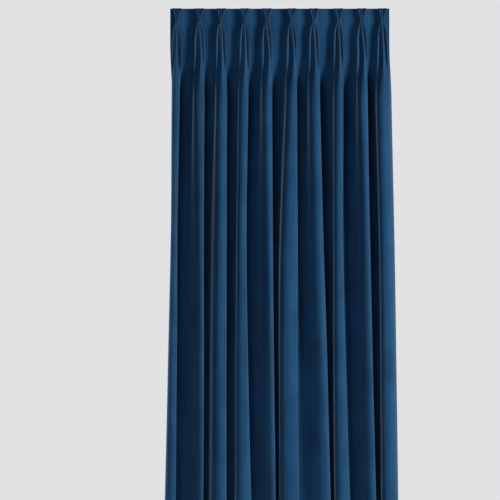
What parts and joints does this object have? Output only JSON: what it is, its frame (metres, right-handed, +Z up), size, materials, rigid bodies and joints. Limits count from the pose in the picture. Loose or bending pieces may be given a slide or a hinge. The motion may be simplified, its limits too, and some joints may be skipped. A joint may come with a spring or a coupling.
{
  "type": "pinch-pleated velvet drape panel",
  "caption": "Floor-length velvet curtain panel with triple pinch pleats that open into deep, soft folds.",
  "frame": {"origin": "on the top edge of the heading, 3 mm left of its middle, in the plane of the flat cloth between the pleats", "axes": "+X along the heading to the right of someone who faces the velvet, -Y out of the face of the velvet into the room, +Z up; the drape hangs down from z = 0"},
  "size_m": [1.0414, 0.1088, 2.4402],
  "materials": {
    "navy_velvet": "deep teal-navy cut-pile velvet, matt in the hollows, with a pale sheen where the pile turns away"
  },
  "bodies": {
    "root": {"velvet_drape": "navy_velvet"}
  },
  "joints": []
}
